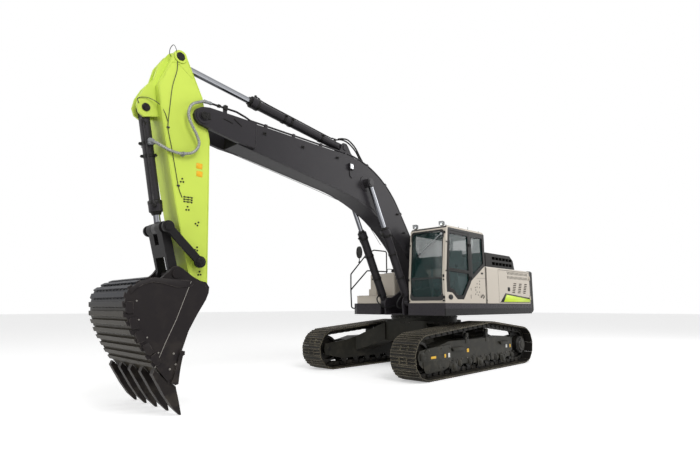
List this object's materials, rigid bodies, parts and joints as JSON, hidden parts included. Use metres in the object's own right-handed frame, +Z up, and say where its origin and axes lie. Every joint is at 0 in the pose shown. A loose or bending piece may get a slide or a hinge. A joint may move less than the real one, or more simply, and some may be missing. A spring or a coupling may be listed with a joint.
{
  "type": "crawler excavator",
  "caption": "Full-size crawler excavator with cab, slewing house, hinged boom, arm and toothed bucket, hydraulic cylinders, opening doors and hood.",
  "frame": {"origin": "on the slewing axis at ground level", "axes": "+X forward towards the bucket, +Y to the cab's side, +Z up"},
  "size_m": [10.8714, 3.18, 5.3529],
  "materials": {
    "track_steel": "matte",
    "frame_black": "satin",
    "charcoal_paint": "satin",
    "lime_paint": "gloss",
    "house_paint": "satin",
    "deck_paint": "satin",
    "cab_paint": "satin",
    "counterweight_paint": "satin",
    "chrome_rod": "polished",
    "pin_steel": "satin",
    "cab_glazing": "gloss",
    "seat_cloth": "matte",
    "trim_plastic": "matte",
    "engine_cast": "matte",
    "lamp_silver": "gloss",
    "bucket_steel": "satin",
    "tooth_steel": "matte",
    "hose_rubber": "matte"
  },
  "bodies": {
    "undercarriage": {"carbody": "frame_black", "track_frame_left": "frame_black", "track_frame_right": "frame_black", "track_left": "track_steel", "track_right": "track_steel", "idler_left": "frame_black", "idler_right": "frame_black", "sprocket_left": "frame_black", "sprocket_right": "frame_black", "lower_rollers_left": "frame_black", "lower_rollers_right": "frame_black", "carrier_rollers_left": "frame_black", "carrier_rollers_right": "frame_black", "slew_ring": "pin_steel"},
    "house": {"deck_frame": "deck_paint", "house_pins": "pin_steel", "counterweight": "counterweight_paint", "engine_house": "house_paint", "engine_block": "engine_cast", "exhaust": "pin_steel", "cab_shell": "cab_paint", "cab_glass": "cab_glazing", "seat": "seat_cloth", "consoles": "trim_plastic", "fuel_tank": "house_paint", "toolbox": "house_paint", "steps": "deck_paint", "handrails": "charcoal_paint", "mirrors": "trim_plastic", "work_lamps": "lamp_silver", "swing_motor": "engine_cast"},
    "cab_door": {"cab_door": "cab_paint", "door_glass": "cab_glazing"},
    "hood": {"hood": "cab_paint"},
    "service_door_left": {"service_door_left": "house_paint"},
    "service_door_right": {"service_door_right": "house_paint"},
    "toolbox_lid": {"toolbox_lid": "house_paint"},
    "boom": {"boom": "charcoal_paint", "boom_pins": "pin_steel", "boom_pipes": "charcoal_paint", "boom_lamp": "lamp_silver"},
    "boom_cylinder_left_barrel": {"boom_cylinder_left_barrel": "charcoal_paint"},
    "boom_cylinder_right_barrel": {"boom_cylinder_right_barrel": "charcoal_paint"},
    "boom_cylinder_left_rod": {"boom_cylinder_left_rod": "chrome_rod"},
    "boom_cylinder_right_rod": {"boom_cylinder_right_rod": "chrome_rod"},
    "arm": {"arm": "lime_paint", "arm_pins": "pin_steel"},
    "arm_cylinder_barrel": {"arm_cylinder_barrel": "charcoal_paint"},
    "arm_cylinder_rod": {"arm_cylinder_rod": "chrome_rod"},
    "bucket_cylinder_barrel": {"bucket_cylinder_barrel": "charcoal_paint"},
    "bucket_cylinder_rod": {"bucket_cylinder_rod": "chrome_rod"},
    "guide_links": {"guide_links": "charcoal_paint"},
    "power_link": {"power_link": "charcoal_paint"},
    "bucket": {"bucket": "bucket_steel", "bucket_pins": "pin_steel", "bucket_teeth": "tooth_steel"}
  },
  "joints": [
    {"name": "slew", "type": "hinge", "parent": "undercarriage", "child": "house", "pos_m": [0, 0, 1.2], "axis": [0, 0, 1], "continuous": true},
    {"name": "boom_lift", "type": "hinge", "parent": "house", "child": "boom", "pos_m": [0.25, 0, 1.95], "axis": [0, -1, 0], "range_deg": [-65, 38]},
    {"name": "arm_swing", "type": "hinge", "parent": "boom", "child": "arm", "pos_m": [6.22, 0, 4.38], "axis": [0, -1, 0], "range_deg": [-24, 88]},
    {"name": "bucket_curl", "type": "hinge", "parent": "arm", "child": "bucket", "pos_m": [6.11, 0, 1.66], "axis": [0, -1, 0], "range_deg": [-165, 8]},
    {"name": "cab_door_hinge", "type": "hinge", "parent": "house", "child": "cab_door", "pos_m": [0.138, 1.426, 2.3], "axis": [0, 0, 1], "range_deg": [0, 165]},
    {"name": "hood_hinge", "type": "hinge", "parent": "house", "child": "hood", "pos_m": [-1.248, 0, 2.3656], "axis": [0, 1, 0], "range_deg": [0, 60]},
    {"name": "service_door_left_hinge", "type": "hinge", "parent": "house", "child": "service_door_left", "pos_m": [-2.958, 1.426, 1.9], "axis": [0, 0, 1], "range_deg": [0, 110]},
    {"name": "service_door_right_hinge", "type": "hinge", "parent": "house", "child": "service_door_right", "pos_m": [-2.958, -1.426, 1.9], "axis": [0, 0, -1], "range_deg": [0, 110]},
    {"name": "toolbox_lid_hinge", "type": "hinge", "parent": "house", "child": "toolbox_lid", "pos_m": [0.822, -0.846, 1.6523], "axis": [0, -1, 0], "range_deg": [0, 75]},
    {"name": "boom_cylinder_left_swing", "type": "hinge", "parent": "house", "child": "boom_cylinder_left_barrel", "pos_m": [1.07, 0.34, 1.5], "axis": [0, -1, 0], "range_deg": [-70.33, 41.53]},
    {"name": "boom_cylinder_left_stroke", "type": "slide", "parent": "boom_cylinder_left_barrel", "child": "boom_cylinder_left_rod", "axis": [0.4542, 0, 0.8909], "range_m": [-0.8721, 0.51192]},
    {"name": "boom_cylinder_right_swing", "type": "hinge", "parent": "house", "child": "boom_cylinder_right_barrel", "pos_m": [1.07, -0.34, 1.5], "axis": [0, -1, 0], "range_deg": [-70.33, 41.53]},
    {"name": "boom_cylinder_right_stroke", "type": "slide", "parent": "boom_cylinder_right_barrel", "child": "boom_cylinder_right_rod", "axis": [0.4542, 0, 0.8909], "range_m": [-0.8721, 0.51192]},
    {"name": "arm_cylinder_swing", "type": "hinge", "parent": "boom", "child": "arm_cylinder_barrel", "pos_m": [2.87, 0, 4.74], "axis": [0, -1, 0], "range_deg": [-2.76, 1.48]},
    {"name": "arm_cylinder_stroke", "type": "slide", "parent": "arm_cylinder_barrel", "child": "arm_cylinder_rod", "axis": [0.9911, 0, 0.1335], "range_m": [-1.2458, 0.3434]},
    {"name": "bucket_cylinder_swing", "type": "hinge", "parent": "arm", "child": "bucket_cylinder_barrel", "pos_m": [7.045, 0, 4.32], "axis": [0, -1, 0], "range_deg": [-1.36, 1.02]},
    {"name": "bucket_cylinder_stroke", "type": "slide", "parent": "bucket_cylinder_barrel", "child": "bucket_cylinder_rod", "axis": [-0.1913, 0, -0.9815], "range_m": [-0.061, 1.16]},
    {"name": "guide_link_swing", "type": "hinge", "parent": "arm", "child": "guide_links", "pos_m": [6.18, 0, 2.07], "axis": [0, -1, 0], "range_deg": [-110.43, 6.31]},
    {"name": "power_link_swing", "type": "hinge", "parent": "bucket", "child": "power_link", "pos_m": [6.52, 0, 1.88], "axis": [0, -1, 0], "range_deg": [-5.68, 97.61]}
  ],
  "couplings": [
    {"joint": "boom_cylinder_left_swing", "follows": "boom_lift", "ratio": 1.0666},
    {"joint": "boom_cylinder_left_stroke", "follows": "boom_lift", "m_per_rad": 0.76433},
    {"joint": "boom_cylinder_right_swing", "follows": "boom_lift", "ratio": 1.0666},
    {"joint": "boom_cylinder_right_stroke", "follows": "boom_lift", "m_per_rad": 0.76433},
    {"joint": "arm_cylinder_swing", "follows": "arm_swing", "ratio": -0.02},
    {"joint": "arm_cylinder_stroke", "follows": "arm_swing", "m_per_rad": -0.80787},
    {"joint": "bucket_cylinder_swing", "follows": "bucket_curl", "ratio": 0.0022},
    {"joint": "bucket_cylinder_stroke", "follows": "bucket_curl", "m_per_rad": -0.40107},
    {"joint": "guide_link_swing", "follows": "bucket_curl", "ratio": 0.6632},
    {"joint": "power_link_swing", "follows": "bucket_curl", "ratio": -0.5855}
  ]
}
